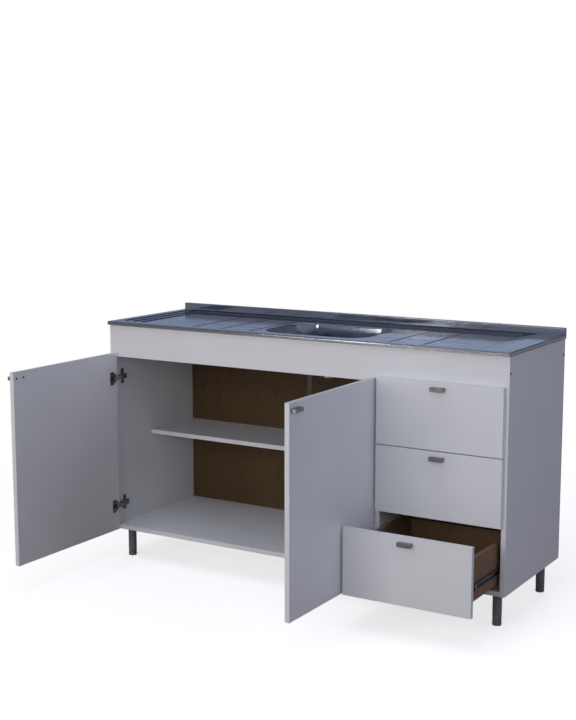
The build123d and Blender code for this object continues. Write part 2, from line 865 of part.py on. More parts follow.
def drawer_base(side_bottom, back_y):
    reach = drawer_groove_depth - groove_clearance
    low = side_bottom + drawer_base_lift + groove_clearance / 2
    return board_between(
        (box_inner_left - reach, box_inner_right + reach),
        (back_y, back_y + drawer_side_length - groove_clearance),
        (low, low + drawer_base_thickness),
    )


def slide_section(start_y, centre_z):
    """Plane across the right-hand slide: x is the distance from the side panel, y is up."""
    return Plane(origin=(inner_right, start_y, centre_z), x_dir=(-1, 0, 0), z_dir=(0, 1, 0))


def span_rectangle(x_span, y_span, mode=Mode.ADD):
    with Locations((middle(*x_span), middle(*y_span))):
        Rectangle(x_span[1] - x_span[0], y_span[1] - y_span[0], mode=mode)


def slide_channel(centre_z):
    """The channel screwed to the cabinet: a tray on edge with turned lips that the balls run under."""
    half = channel_height / 2
    track = half - slide_sheet
    with BuildPart() as channel:
        with BuildSketch(slide_section(front + slide_setback, centre_z)):
            span_rectangle((0, channel_depth), (-half, half))
            span_rectangle((slide_sheet, channel_depth), (-track, track), Mode.SUBTRACT)
            span_rectangle((channel_depth - slide_sheet, channel_depth), (track - channel_lip, track))
            span_rectangle((channel_depth - slide_sheet, channel_depth), (-track, channel_lip - track))
        extrude(amount=slide_length)
        mirror(about=bay_mirror)
    return channel.part


def slide_runner(centre_z, pull):
    """The member screwed to the drawer side, with its screw heads and a soft stop near the front."""
    start_y = front + slide_setback - pull
    half = runner_height / 2
    web = slide_gap - slide_sheet
    with BuildPart() as runner:
        with BuildSketch(slide_section(start_y, centre_z)):
            span_rectangle((slide_gap - runner_depth, slide_gap), (-half, half))
            span_rectangle((slide_gap - runner_depth, web), (slide_sheet - half, half - slide_sheet), Mode.SUBTRACT)
        extrude(amount=slide_length)
        with Locations(
            *[
                Location((inner_right - web + runner_screw_height / 2, start_y + spot, centre_z), (0, 90, 0))
                for spot in runner_screw_spots
            ]
        ):
            Cylinder(runner_screw_radius, runner_screw_height)
        with BuildSketch(slide_section(start_y + runner_stop_start, centre_z)):
            stop_reach = slide_gap - runner_depth + slide_sheet
            span_rectangle((stop_reach, web), (-runner_stop_half_height, runner_stop_half_height))
        extrude(amount=runner_stop_length)
        mirror(about=bay_mirror)
    return runner.part


def ball_cage(centre_z, pull):
    """The sheet cage between channel and runner, with its balls. It travels half as far as the drawer."""
    open_start = front + 2 * slide_setback
    start_y = open_start + (drawer_travel - pull) / 2
    track = channel_height / 2 - slide_sheet
    ball_row = middle(runner_height / 2, track)
    ball_radius = (track - runner_height / 2) / 2 - ball_side_gap
    web = (slide_sheet + cage_web_gap, slide_sheet + cage_web_gap + cage_sheet)
    ball_x = inner_right - ball_distance_from_wall
    ball_places = [(ball_x, start_y + spot, centre_z + row) for spot in ball_spots for row in (-ball_row, ball_row)]
    with BuildPart() as cage:
        with BuildSketch(slide_section(start_y, centre_z)):
            edge = ball_row + cage_sheet / 2
            span_rectangle((web[0], web[0] + cage_flange_reach), (-edge, edge))
            inner_edge = edge - cage_sheet
            span_rectangle((web[1], web[0] + cage_flange_reach), (-inner_edge, inner_edge), Mode.SUBTRACT)
        extrude(amount=cage_length)
        with Locations(*ball_places):
            Cylinder(ball_radius + ball_hole_clearance, 2 * ball_radius, mode=Mode.SUBTRACT)
        with Locations(*ball_places):
            Sphere(ball_radius)
        mirror(about=bay_mirror)
    return cage.part


for name, (low, pull) in drawers.items():
    back_y = front - drawer_front_standoff - pull
    side_bottom = low + drawer_side_lift
    centre_z = side_bottom + slide_centre_height
    save(drawer_front(low, back_y), f"{name}_drawer_front")
    save(drawer_sides(side_bottom, back_y), f"{name}_drawer_sides")
    save(drawer_back(side_bottom, back_y), f"{name}_drawer_back")
    save(drawer_base(side_bottom, back_y), f"{name}_drawer_base")
    save(handle(drawer_handle_face(low, back_y)), f"{name}_drawer_handle")
    save(handle_screws(drawer_handle_face(low, back_y)), f"{name}_drawer_handle_screws")
    save(slide_runner(centre_z, pull), f"{name}_drawer_runners")
    save(ball_cage(centre_z, pull), f"{name}_drawer_ball_cages")

slide_heights = [low + drawer_side_lift + slide_centre_height for low, _ in drawers.values()]
save(gathered([slide_channel(height) for height in slide_heights]), "slide_channels")

# ================================================================ sink top
deck = carcass_top + sink_lip
sink_length = cabinet_width + 2 * sink_side_overhang
sink_front = front - sink_front_overhang
sink_rear = sink_front + sink_depth
sink_middle = middle(sink_front, sink_rear)
upstand_front = sink_rear - upstand_thickness
tray_front = sink_front + front_rim
tray_rear = upstand_front - rear_rim
tray_left = left_rim - sink_length / 2
tray_right = sink_length / 2 - right_rim
tray_length = tray_right - tray_left
tray_centre = middle(tray_left, tray_right)
tray_width = tray_rear - tray_front
tray_middle = middle(tray_front, tray_rear)
tray_floor = deck - tray_steps * tray_step_drop
bowl_floor = tray_floor - bowl_depth


def sink_block(inset):
    """The rim with its upstand. Drawn in by the sheet, it is the space underneath."""
    with BuildPart() as block:
        with Locations((0, sink_middle, carcass_top + (sink_lip - inset) / 2)):
            Box(sink_length - 2 * inset, sink_depth - 2 * inset, sink_lip - inset)
        upstand_top = sink_lip + upstand_height - inset
        with Locations((0, middle(upstand_front, sink_rear), carcass_top + upstand_top / 2)):
            Box(sink_length - 2 * inset, upstand_thickness - 2 * inset, upstand_top)
        uprights = block.edges().filter_by(Axis.Z).group_by(Axis.Y)
        fillet(uprights[0] + uprights[-1], sink_corner - inset)
        fillet(block.edges().group_by(Axis.Z)[-1].filter_by(Axis.X), upstand_edge - inset)
        rim_top = deck - inset
        level = block.edges().filter_by_position(Axis.Z, rim_top - edge_search_margin, rim_top + edge_search_margin)
        fillet(level.sort_by(Axis.Y)[:-1], lip_edge - inset)
    return block.part


def tray_outline(height, inset):
    with BuildSketch(Plane.XY.offset(height)) as outline:
        with Locations((tray_centre, tray_middle)):
            RectangleRounded(
                tray_length - 2 * inset,
                tray_width - 2 * inset,
                tray_corner_radius - inset * tray_corner_tightening,
            )
    return outline.sketch


def tray_recess(grow):
    """The stepped recess, grown outwards and downwards by the sheet for its underside."""
    with BuildPart() as recess:
        for step in range(tray_steps):
            top = deck - step * tray_step_drop - grow
            inset = step * tray_step_pitch - grow
            add(tray_outline(top, inset))
            add(tray_outline(top - tray_step_drop, inset + tray_step_slope))
            loft()
    return recess.part


def bowl_recess(grow):
    """The bowl below the tray floor, grown outwards and downwards by the sheet for its underside."""
    with BuildPart() as recess:
        with BuildSketch(Plane.XY.offset(tray_floor)):
            with Locations(bowl_centre):
                RectangleRounded(bowl_length + 2 * grow, bowl_width + 2 * grow, bowl_corner_radius + grow)
        extrude(amount=-(bowl_depth + grow), taper=bowl_taper)
        fillet(recess.edges().group_by(Axis.Z)[0], bowl_floor_radius + grow)
    return recess.part


def bowl_mouth_edges(part, grow):
    """The edges around the bowl's mouth, on the tray floor or, grown by the sheet, on its underside."""
    height = tray_floor - grow
    reach = bowl_length / 2 + grow + edge_search_margin
    level = part.edges().filter_by_position(Axis.Z, height - edge_search_margin, height + edge_search_margin)
    return level.filter_by_position(Axis.X, bowl_centre[0] - reach, bowl_centre[0] + reach)


def groove_bar(start, end, grow):
    """A bar of triangular section between two places on the tray floor, lowered and lengthened by the sheet."""
    along = (Vector(end) - Vector(start)).normalized()
    section = Plane(
        origin=Vector(*start, tray_floor - grow) - Vector(along.X, along.Y) * grow,
        x_dir=(-along.Y, along.X, 0),
        z_dir=(along.X, along.Y, 0),
    )
    with BuildPart() as bar:
        with BuildSketch(section):
            Polygon((-groove_width / 2, 0), (0, -groove_depth), (groove_width / 2, 0), align=None)
        extrude(amount=(Vector(end) - Vector(start)).length + 2 * grow)
    return bar.part


groove_lines = [((x, groove_column_front), (x, groove_column_rear)) for x in groove_columns]
groove_lines += [((left + groove_row_gap, y), (right, y)) for left, right in groove_row_spans for y in groove_rows]

with BuildPart() as sink_top:
    add(sink_block(0))
    add(sink_block(sink_sheet), mode=Mode.SUBTRACT)
    add(tray_recess(sink_sheet))
    add(bowl_recess(sink_sheet))
    fillet(bowl_mouth_edges(sink_top, sink_sheet), bowl_edge_radius - sink_sheet)
    add([groove_bar(*line, sink_sheet) for line in groove_lines])
    add(tray_recess(0), mode=Mode.SUBTRACT)
    add(bowl_recess(0), mode=Mode.SUBTRACT)
    fillet(bowl_mouth_edges(sink_top, 0), bowl_edge_radius)
    add([groove_bar(*line, 0) for line in groove_lines], mode=Mode.SUBTRACT)
    with Locations((*bowl_centre, bowl_floor)):
        Cylinder(drain_hole_radius, 4 * sink_sheet, mode=Mode.SUBTRACT)

# The bowl is pressed on its own and welded to the deck below the rolled edge of its mouth.
seam_height = tray_floor - sink_sheet - bowl_edge_radius
with BuildPart() as below_seam:
    with BuildSketch(Plane.XY.offset(seam_height)):
        with Locations(bowl_centre):
            Rectangle(bowl_length + bowl_corner_radius, bowl_width + bowl_corner_radius)
    extrude(amount=-bowl_depth)
save(sink_top.part - below_seam.part, "sink_deck")
save(sink_top.part & below_seam.part, "sink_bowl")

batten_heights = (carcass_top, deck - sink_sheet)
batten_end_x = sink_length / 2 - sink_sheet - batten_rim_gap
batten_tray_reach = sink_sheet + batten_tray_gap
long_battens = (
    (sink_front + sink_sheet + batten_rim_gap, tray_front - batten_tray_reach),
    (tray_rear + batten_tray_reach, sink_rear - sink_sheet - batten_rim_gap),
)
short_batten_span = (long_battens[0][1] + batten_gap, long_battens[1][0] - batten_gap)
battens = [board_between((-batten_end_x, batten_end_x), span, batten_heights) for span in long_battens]
for span in ((-batten_end_x, tray_left - batten_tray_reach), (tray_right + batten_tray_reach, batten_end_x)):
    battens.append(board_between(span, short_batten_span, batten_heights))
save(gathered(battens), "sink_battens")

# ================================================================ drain
strainer_mouth = bowl_floor + drain_flange_thickness
strainer_floor = strainer_mouth - drain_cup_depth
neck_bottom = strainer_floor - drain_cup_floor


def drain_disc(height, radius):
    """A disc on the drain's axis, as the sketch of the next extrusion."""
    with BuildSketch(Plane.XY.offset(height)) as disc:
        with Locations(bowl_centre):
            Circle(radius)
    return disc.sketch


with BuildPart() as drain_strainer:
    extrude(drain_disc(bowl_floor, drain_flange_radius), amount=drain_flange_thickness)
    chamfer(drain_strainer.edges().group_by(Axis.Z)[-1], drain_flange_thickness / 2)
    extrude(drain_disc(bowl_floor, drain_neck_radius), amount=neck_bottom - bowl_floor)
    extrude(drain_disc(neck_bottom, drain_outlet_radius), amount=-drain_outlet_length)
    extrude(drain_disc(strainer_mouth, drain_cup_radius), amount=-drain_cup_depth, mode=Mode.SUBTRACT)
    outlet_bore = drain_disc(neck_bottom, drain_outlet_radius - drain_outlet_wall)
    extrude(outlet_bore, amount=-drain_outlet_length, mode=Mode.SUBTRACT)
    with BuildSketch(Plane.XY.offset(strainer_floor)):
        with Locations(bowl_centre):
            Circle(drain_slot_radius)
            for ring_radius, count in zip(drain_ring_radii, drain_ring_holes):
                with PolarLocations(ring_radius, count):
                    Circle(drain_slot_radius)
    extrude(amount=-drain_cup_floor, mode=Mode.SUBTRACT)
save(drain_strainer.part, "drain_strainer")

with BuildPart() as drain_locknut:
    with BuildSketch(Plane.XY.offset(bowl_floor - sink_sheet)):
        with Locations(bowl_centre):
            RegularPolygon(drain_nut_radius, drain_nut_sides, major_radius=False)
            Circle(drain_neck_radius + hole_clearance, mode=Mode.SUBTRACT)
    extrude(amount=-drain_nut_height)
save(drain_locknut.part, "drain_locknut")
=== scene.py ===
"""Looks of the kitchen sink unit: board, steel, plastic and hinge finishes, screws, stage,
lights and camera.

Metres, in the frame's axes: X runs along the front to the right, Y towards the wall, Z up.
"""
import json
import math

import bmesh
import bpy
from mathutils import Matrix, Vector


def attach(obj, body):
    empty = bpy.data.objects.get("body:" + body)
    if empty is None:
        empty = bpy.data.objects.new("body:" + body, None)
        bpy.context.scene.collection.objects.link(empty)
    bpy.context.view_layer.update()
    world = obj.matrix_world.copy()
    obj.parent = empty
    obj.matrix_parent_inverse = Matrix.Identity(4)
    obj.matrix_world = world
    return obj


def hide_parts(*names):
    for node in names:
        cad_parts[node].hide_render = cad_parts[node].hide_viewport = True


MM = 0.001
MERGE_DISTANCE = 0.01 * MM

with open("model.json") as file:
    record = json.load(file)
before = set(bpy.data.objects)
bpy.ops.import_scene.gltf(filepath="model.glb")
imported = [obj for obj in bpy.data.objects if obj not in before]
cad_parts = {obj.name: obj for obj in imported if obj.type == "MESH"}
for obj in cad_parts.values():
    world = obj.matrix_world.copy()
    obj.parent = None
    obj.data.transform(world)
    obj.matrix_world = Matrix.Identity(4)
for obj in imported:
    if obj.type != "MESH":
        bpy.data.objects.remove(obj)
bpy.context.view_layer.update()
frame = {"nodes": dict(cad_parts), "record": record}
nodes = frame["nodes"]
node_slots = {part["node"]: part["material_slot"] for part in frame["record"]["subparts"]}
node_bodies = {node: body for body, names in frame["record"]["behaviour"]["bodies"].items() for node in names}


# ---------------------------------------------------------------- material building blocks
MIX_FACTOR, MIX_FIRST, MIX_SECOND, MIX_RESULT = 0, 6, 7, 2  # the colour sockets of a Mix node
NOISE_LOW, NOISE_HIGH = 0.3, 0.7  # nearly all values of a noise lie between these


def new_material(name):
    material = bpy.data.materials.new(name)
    material.use_nodes = True
    tree = material.node_tree
    return material, tree, tree.nodes["Principled BSDF"]


def object_coordinates(tree, stretch=(1, 1, 1)):
    """Object coordinates, scaled so that a pattern can run along one axis."""
    coordinates = tree.nodes.new("ShaderNodeTexCoord")
    mapping = tree.nodes.new("ShaderNodeMapping")
    mapping.inputs["Scale"].default_value = stretch
    tree.links.new(coordinates.outputs["Object"], mapping.inputs["Vector"])
    return mapping.outputs["Vector"]


def noise(tree, vector, scale, detail=4.0, roughness=0.5, distortion=0.0):
    texture = tree.nodes.new("ShaderNodeTexNoise")
    texture.inputs["Scale"].default_value = scale
    texture.inputs["Detail"].default_value = detail
    texture.inputs["Roughness"].default_value = roughness
    texture.inputs["Distortion"].default_value = distortion
    tree.links.new(vector, texture.inputs["Vector"])
    return texture.outputs["Fac"]


def spread(tree, value, low, high, from_low=NOISE_LOW, from_high=NOISE_HIGH):
    """A value moved from one range to another."""
    scale = tree.nodes.new("ShaderNodeMapRange")
    for name, number in (("From Min", from_low), ("From Max", from_high), ("To Min", low), ("To Max", high)):
        scale.inputs[name].default_value = number
    tree.links.new(value, scale.inputs["Value"])
    return scale.outputs["Result"]


def blend_colours(tree, factor, first, second):
    """first and second are colours or sockets, factor is a socket."""
    mix = tree.nodes.new("ShaderNodeMix")
    mix.data_type = "RGBA"
    for socket, colour in ((mix.inputs[MIX_FIRST], first), (mix.inputs[MIX_SECOND], second)):
        if isinstance(colour, tuple):
            socket.default_value = (*colour, 1.0)
        else:
            tree.links.new(colour, socket)
    tree.links.new(factor, mix.inputs[MIX_FACTOR])
    return mix.outputs[MIX_RESULT]


def shaded(colour, share):
    return tuple(channel * share for channel in colour)


def add_bump(tree, shader, height, strength, distance):
    bump = tree.nodes.new("ShaderNodeBump")
    bump.inputs["Strength"].default_value = strength
    bump.inputs["Distance"].default_value = distance
    tree.links.new(height, bump.inputs["Height"])
    tree.links.new(bump.outputs["Normal"], shader.inputs["Normal"])


# ---------------------------------------------------------------- finishes
def melamine(name, light, dark, roughness):
    """A pressed melamine face: faint clouding, a fine pearl texture and slightly uneven gloss."""
    material, tree, shader = new_material(name)
    vector = object_coordinates(tree)
    clouds = spread(tree, noise(tree, vector, scale=6.0, detail=3.0), low=0.0, high=1.0)
    tree.links.new(blend_colours(tree, clouds, light, dark), shader.inputs["Base Color"])
    pearl = noise(tree, vector, scale=900.0, detail=2.0)
    gloss = spread(tree, noise(tree, vector, scale=45.0, detail=5.0), roughness - 0.04, roughness + 0.05)
    tree.links.new(gloss, shader.inputs["Roughness"])
    add_bump(tree, shader, pearl, strength=0.12, distance=0.2 * MM)
    return material


def wood_print(name, light, dark, roughness, stretch, sheen):
    """A printed wood grain that runs along the least stretched axis."""
    material, tree, shader = new_material(name)
    shader.inputs["Specular IOR Level"].default_value = sheen
    vector = object_coordinates(tree, stretch)
    grain = noise(tree, vector, scale=1.0, detail=8.0, roughness=0.65, distortion=0.4)
    pores = noise(tree, vector, scale=9.0, detail=3.0, roughness=0.6)
    tone = blend_colours(tree, spread(tree, grain, low=0.0, high=1.0), dark, light)
    pore_depth = spread(tree, pores, low=0.55, high=0.0, from_low=0.30, from_high=0.45)
    pored = blend_colours(tree, pore_depth, tone, shaded(dark, 0.55))
    tree.links.new(pored, shader.inputs["Base Color"])
    tree.links.new(spread(tree, grain, roughness - 0.06, roughness + 0.08), shader.inputs["Roughness"])
    add_bump(tree, shader, pores, strength=0.25, distance=0.2 * MM)
    return material


def brushed_metal(name, light, dark, roughness, stretch, grain_scale, bump, metallic=1.0):
    """Metal with a fine grain along one axis and faint cloudy wear."""
    material, tree, shader = new_material(name)
    shader.inputs["Metallic"].default_value = metallic
    grain = noise(tree, object_coordinates(tree, stretch), grain_scale, detail=6.0, roughness=0.6)
    wear = noise(tree, object_coordinates(tree), scale=9.0, detail=5.0, roughness=0.6)
    tone = blend_colours(tree, spread(tree, grain, low=0.0, high=1.0), dark, light)
    worn = blend_colours(tree, spread(tree, wear, low=0.0, high=0.35), tone, shaded(dark, 0.82))
    tree.links.new(worn, shader.inputs["Base Color"])
    rough = spread(tree, grain, roughness * 0.8, roughness * 1.25)
    tree.links.new(rough, shader.inputs["Roughness"])
    add_bump(tree, shader, grain, bump, distance=0.1 * MM)
    return material


def moulded_plastic(name, light, dark, roughness):
    """Moulded plastic with a fine spark-eroded texture and faint dust."""
    material, tree, shader = new_material(name)
    vector = object_coordinates(tree)
    dust = spread(tree, noise(tree, vector, scale=60.0, detail=5.0), low=0.0, high=1.0)
    tree.links.new(blend_colours(tree, dust, light, dark), shader.inputs["Base Color"])
    rough = spread(tree, noise(tree, vector, scale=140.0), roughness - 0.06, roughness + 0.08)
    tree.links.new(rough, shader.inputs["Roughness"])
    add_bump(tree, shader, noise(tree, vector, scale=2200.0, detail=2.0), strength=0.18, distance=0.1 * MM)
    return material


FINISH_VALUES = {
    "white_board": (melamine, dict(light=(0.80, 0.80, 0.82), dark=(0.77, 0.77, 0.795), roughness=0.42)),
    "brown_board": (wood_print, dict(
        light=(0.25, 0.145, 0.078), dark=(0.19, 0.11, 0.058), roughness=0.5, stretch=(40, 6, 40), sheen=0.4)),
    "brown_hardboard": (wood_print, dict(
        light=(0.105, 0.064, 0.032), dark=(0.088, 0.053, 0.026), roughness=0.62,
        stretch=(22, 22, 2.2), sheen=0.15)),
    "batten_wood": (wood_print, dict(
        light=(0.62, 0.47, 0.31), dark=(0.44, 0.31, 0.19), roughness=0.7, stretch=(3, 60, 60), sheen=0.4)),
    "sink_steel": (brushed_metal, dict(
        light=(0.58, 0.60, 0.64), dark=(0.52, 0.54, 0.58), roughness=0.11,
        stretch=(2.5, 260, 260), grain_scale=1.0, bump=0.002)),
    "drain_steel": (brushed_metal, dict(
        light=(0.72, 0.74, 0.77), dark=(0.6, 0.62, 0.65), roughness=0.16,
        stretch=(30, 30, 30), grain_scale=4.0, bump=0.04)),
    "drain_nut_plastic": (moulded_plastic, dict(
        light=(0.07, 0.07, 0.072), dark=(0.05, 0.05, 0.052), roughness=0.5)),
    "leg_plastic": (moulded_plastic, dict(
        light=(0.19, 0.18, 0.185), dark=(0.15, 0.142, 0.148), roughness=0.42)),
    "foot_plastic": (moulded_plastic, dict(
        light=(0.155, 0.148, 0.152), dark=(0.12, 0.114, 0.118), roughness=0.5)),
    "strip_plastic": (moulded_plastic, dict(
        light=(0.085, 0.088, 0.095), dark=(0.07, 0.073, 0.08), roughness=0.4)),
    "white_plastic": (moulded_plastic, dict(
        light=(0.80, 0.80, 0.79), dark=(0.74, 0.74, 0.73), roughness=0.4)),
    "hinge_nickel": (brushed_metal, dict(
        light=(0.26, 0.255, 0.26), dark=(0.2, 0.195, 0.2), roughness=0.35,
        stretch=(8, 90, 90), grain_scale=5.0, bump=0.05, metallic=0.6)),
    "slide_zinc": (brushed_metal, dict(
        light=(0.42, 0.43, 0.45), dark=(0.32, 0.33, 0.35), roughness=0.3,
        stretch=(90, 3, 90), grain_scale=2.0, bump=0.05)),
    "handle_grey": (brushed_metal, dict(
        light=(0.36, 0.36, 0.375), dark=(0.27, 0.27, 0.28), roughness=0.38,
        stretch=(6, 200, 200), grain_scale=2.0, bump=0.05)),
    "screw_zinc": (brushed_metal, dict(
        light=(0.13, 0.13, 0.14), dark=(0.08, 0.08, 0.085), roughness=0.4,
        stretch=(60, 60, 60), grain_scale=6.0, bump=0.05, metallic=0.8)),
}
finishes = {name: finish(name, **values) for name, (finish, values) in FINISH_VALUES.items()}


# ---------------------------------------------------------------- frame nodes: finish and soft edges
BOARD_SLOTS = ("white_board", "brown_board", "brown_hardboard", "batten_wood")
BOARD_EDGE = 0.6 * MM
FLAT_ANGLE = math.radians(0.5)
EDGE_ANGLE = math.radians(50)


def soften(obj, width):
    """Join the node's coplanar facets and round its sharp edges by a small width."""
    bpy.context.view_layer.objects.active = obj
    bpy.ops.mesh.customdata_custom_splitnormals_clear()
    obj.data.shade_flat()
    weld = obj.modifiers.new("weld", "WELD")
    weld.merge_threshold = MERGE_DISTANCE
    flats = obj.modifiers.new("flats", "DECIMATE")
    flats.decimate_type = "DISSOLVE"
    flats.angle_limit = FLAT_ANGLE
    bevel = obj.modifiers.new("soft edges", "BEVEL")
    bevel.width = width
    bevel.segments = 2
    bevel.limit_method = "ANGLE"
    bevel.angle_limit = EDGE_ANGLE


for name, obj in nodes.items():
    slot = node_slots[name]
    obj.data.materials.clear()
    obj.data.materials.append(finishes["strip_plastic" if name == "back_joint_strip" else slot])
    if slot in BOARD_SLOTS:
        soften(obj, BOARD_EDGE)


# ---------------------------------------------------------------- screws with cross recesses
# Each kind: head radius, head height, shank radius and length, in millimetres.
HANDLE_SCREW = (4.0, 0.8, 2.0, 23.0)
CUP_SCREW = (3.2, 1.0, 1.6, 9.0)
# Points of a head from its top to its underside, as shares of its radius and height.
HEAD_OUTLINE = ((0, 1), (0.55, 0.97), (0.85, 0.8), (1, 0.35), (0.97, 0))
THREAD_PITCH = 2.4 * MM
THREAD_SHARE = 0.9
THREAD_ROOT = 0.72
THREAD_RISE = 0.3
TIP_RADIUS, TIP_START = 0.3, 0.97
ROUND_STEPS = 24
SMOOTH_ANGLE = math.radians(38)
RECESS_ARM, RECESS_WIDTH, RECESS_DEPTH = 0.58, 0.13, 0.75
RECESS_TAPER = (0.45, 0.6)
CUTTER_RISE = 0.3 * MM
# A screw's place sets how far its recess is turned, in radians.
SPIN_WEIGHTS = (31, 57, 91)
LARGEST_SPIN = 1.6


def revolve(profile, steps=ROUND_STEPS):
    """A mesh turned about Z from (radius, height) points, first and last on the axis."""
    bm = bmesh.new()
    angles = [2 * math.pi * k / steps for k in range(steps)]
    rings = []
    for radius, height in profile:
        if radius == 0:
            rings.append([bm.verts.new((0, 0, height))])
        else:
            rings.append([bm.verts.new((radius * math.cos(a), radius * math.sin(a), height)) for a in angles])
    for low, high in zip(rings, rings[1:]):
        for k in range(steps):
            corners = [low[k % len(low)], low[(k + 1) % len(low)]]
            corners += [high[(k + 1) % len(high)], high[k % len(high)]]
            bm.faces.new(list(dict.fromkeys(corners)))
    bmesh.ops.recalc_face_normals(bm, faces=bm.faces)
    return bm


def cross_cutter(arm, width, depth, top):
    """A tapered cross that cuts the recess."""
    bm = bmesh.new()
    outline = [(arm, -width), (arm, width), (width, width)]
    for _ in range(3):
        outline += [(-y, x) for x, y in outline[-3:]]
    high = [bm.verts.new((x, y, top + CUTTER_RISE)) for x, y in outline]
    low = [bm.verts.new((x * RECESS_TAPER[0], y * RECESS_TAPER[1], top - depth)) for x, y in outline]
    bm.faces.new(high)
    bm.faces.new(low[::-1])
    for k in range(len(outline)):
        after = (k + 1) % len(outline)
        bm.faces.new((high[k], low[k], low[after], high[after]))
    bmesh.ops.recalc_face_normals(bm, faces=bm.faces)
    return bm


def object_from(name, bm):
    mesh = bpy.data.meshes.new(name)
    bm.to_mesh(mesh)
    bm.free()
    obj = bpy.data.objects.new(name, mesh)
    bpy.context.scene.collection.objects.link(obj)
    return obj


def screw_profile(head_radius, head_height, shank_radius, length):
    """(radius, height) points of a screw from the top of its head to its tip."""
    profile = [(head_radius * across, head_height * up) for across, up in HEAD_OUTLINE]
    profile.append((shank_radius, 0))
    turns = max(2, int(length / THREAD_PITCH))
    for k in range(turns):
        low = -length * THREAD_SHARE * (k + 1) / turns
        profile += [(shank_radius * THREAD_ROOT, low + length * THREAD_RISE / turns), (shank_radius, low)]
    return profile + [(shank_radius * TIP_RADIUS, -length * TIP_START), (0, -length)]


def screw_mesh(head_radius, head_height, shank_radius, length):
    """A pan-head cross-recess screw: the underside of the head at Z 0, the shank downwards."""
    screw = object_from("screw", revolve(screw_profile(head_radius, head_height, shank_radius, length)))
    cutter = object_from("cutter", cross_cutter(
        head_radius * RECESS_ARM, head_radius * RECESS_WIDTH, head_height * RECESS_DEPTH, head_height))
    cut = screw.modifiers.new("recess", "BOOLEAN")
    cut.object = cutter
    cut.solver = "EXACT"
    evaluated = screw.evaluated_get(bpy.context.evaluated_depsgraph_get())
    mesh = bpy.data.meshes.new_from_object(evaluated)
    bpy.data.objects.remove(screw)
    bpy.data.objects.remove(cutter)
    return mesh


def joined_vertices(start, left):
    """Places of the vertices that edges join to start. They are taken out of the set left."""
    left.remove(start)
    stack, places = [start], []
    while stack:
        vert = stack.pop()
        places.append(vert.co.copy())
        for edge in vert.link_edges:
            other = edge.other_vert(vert)
            if other in left:
                left.remove(other)
                stack.append(other)
    return places


def solids_of(obj):
    """(lowest corner, highest corner) of each separate solid of a node."""
    bm = bmesh.new()
    bm.from_mesh(obj.data)
    bmesh.ops.remove_doubles(bm, verts=bm.verts, dist=MERGE_DISTANCE)
    left = set(bm.verts)
    boxes = []
    for start in bm.verts:
        if start in left:
            places = joined_vertices(start, left)
            boxes.append(tuple(Vector([end(c[k] for c in places) for k in range(3)]) for end in (min, max)))
    bm.free()
    return boxes


def placed_screw(low, high, kinds, direction):
    """The screw of the best fitting kind in the box from low to high, its head towards direction."""
    axis = max(range(3), key=lambda k: abs(direction[k]))
    across = (high - low)[(axis + 1) % 3] / 2
    kind = min(kinds, key=lambda k: abs(k[0] * MM - across))
    head_radius, head_height, shank_radius, length = (v * MM for v in kind)
    centre = (low + high) / 2
    end = high[axis] if direction[axis] > 0 else low[axis]
    centre[axis] = end - direction[axis] * head_height
    turn = Vector(direction).to_track_quat("Z", "Y").to_matrix().to_4x4()
    spin = sum(place * weight for place, weight in zip(low, SPIN_WEIGHTS)) % LARGEST_SPIN
    screw = screw_mesh(head_radius, head_height, shank_radius, length)
    screw.transform(Matrix.Translation(centre) @ turn @ Matrix.Rotation(spin, 4, "Z"))
    return screw


def screws_for(node, kinds, direction):
    """Detailed screws in place of a node's plain ones, their heads towards direction."""
    joined = bmesh.new()
    for low, high in solids_of(nodes[node]):
        screw = placed_screw(low, high, kinds, direction)
        joined.from_mesh(screw)
        bpy.data.meshes.remove(screw)
    obj = object_from(f"{node}_detail", joined)
    obj.data.materials.append(finishes[node_slots[node]])
    obj.data.shade_smooth()
    bpy.context.view_layer.objects.active = obj
    sharp = obj.modifiers.new("sharp", "EDGE_SPLIT")
    sharp.split_angle = SMOOTH_ANGLE
    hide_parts(node)
    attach(obj, node_bodies[node])


for side, outward in (("left", 1), ("right", -1)):
    screws_for(f"{side}_door_screws", (HANDLE_SCREW, CUP_SCREW), (outward, 0, 0))
for level in ("bottom", "middle", "top"):
    screws_for(f"{level}_drawer_handle_screws", (HANDLE_SCREW,), (0, 1, 0))


# ---------------------------------------------------------------- stage
FLOOR_RADIUS = 9.0
FLOOR_COLOUR = (0.75, 0.75, 0.75)
FLOOR_GLOW = 0.66
FLOOR_DIM = (0.26, 0.235, 0.22)
FLOOR_MIRRORED = (0.19, 0.175, 0.175)
WHITE_FROM, WHITE_AT = 0.7, 2.4  # distances from the middle between which the floor fades to white

# Bounds of the direction's Z or Y between which one colour of the room passes to the next.
OVERHEAD_FROM, OVERHEAD_AT = 0.16, 0.42
CEILING_FROM, CEILING_AT = 0.14, 0.3
ZENITH_FROM, ZENITH_AT = 0.5, 0.85
FRONT_AT, REAR_AT = -0.2, 0.1
OVERHEAD_LIGHT = (0.116, 0.116, 0.138)
REAR_DARK, REAR_BRIGHT = (0.16, 0.2, 0.31), (0.3, 0.36, 0.5)
FRONT_COLOUR = (0.21, 0.22, 0.29)
CEILING_COLOUR = (0.03, 0.04, 0.07)
ZENITH_COLOUR = (0.34, 0.37, 0.43)
BLACK, WHITE = (0.0, 0.0, 0.0), (1.0, 1.0, 1.0)


def mix_shaders(tree, factor, first, second):
    mix = tree.nodes.new("ShaderNodeMixShader")
    for socket, value in zip(mix.inputs, (factor, first, second)):
        tree.links.new(value, socket)
    return mix.outputs["Shader"]


def coloured_shader(tree, kind, colour):
    node = tree.nodes.new(kind)
    node.inputs["Color"].default_value = (*colour, 1)
    return node.outputs[0]


